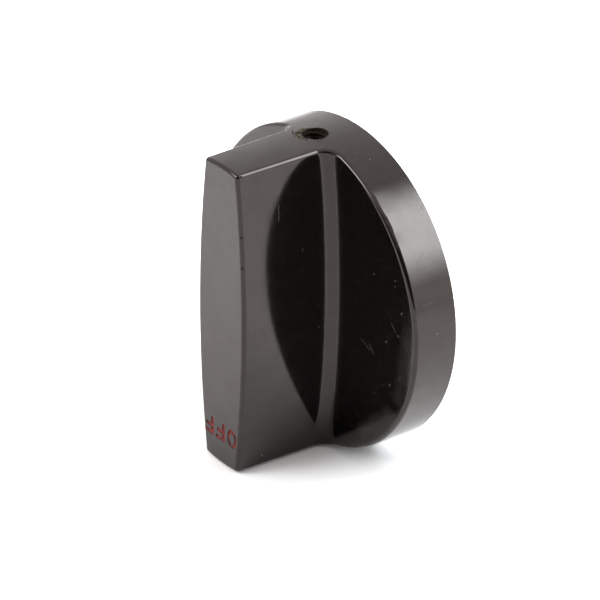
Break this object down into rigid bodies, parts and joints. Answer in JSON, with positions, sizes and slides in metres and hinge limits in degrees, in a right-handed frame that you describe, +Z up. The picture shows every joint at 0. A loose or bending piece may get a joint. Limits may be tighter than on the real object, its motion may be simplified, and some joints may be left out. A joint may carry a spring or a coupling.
{
  "type": "control knob",
  "caption": "Black bar-grip control knob with a round skirt, a brass shaft bush and a set screw, for a kitchen range or griddle valve shaft.",
  "frame": {"origin": "centre of the shaft bore's mouth, in the plane of the knob's back", "axes": "+Y along the shaft, out of the knob's back towards the panel; -Y is the grip's front; +Z up, as the picture shows the knob, towards the grip's set screw end, so the OFF mark is at the lower end"},
  "size_m": [0.0572, 0.0269, 0.0572],
  "materials": {
    "phenolic": "polished black moulding",
    "brass": "turned",
    "screw_steel": "black oxide"
  },
  "bodies": {
    "knob": {"knob_body": "phenolic", "shaft_bushing": "brass"},
    "screw": {"set_screw": "screw_steel"}
  },
  "joints": [
    {"name": "set_screw_travel", "type": "slide", "parent": "knob", "child": "screw", "axis": [0, 0, 1], "range_m": [-0.0012, 0.003]}
  ]
}
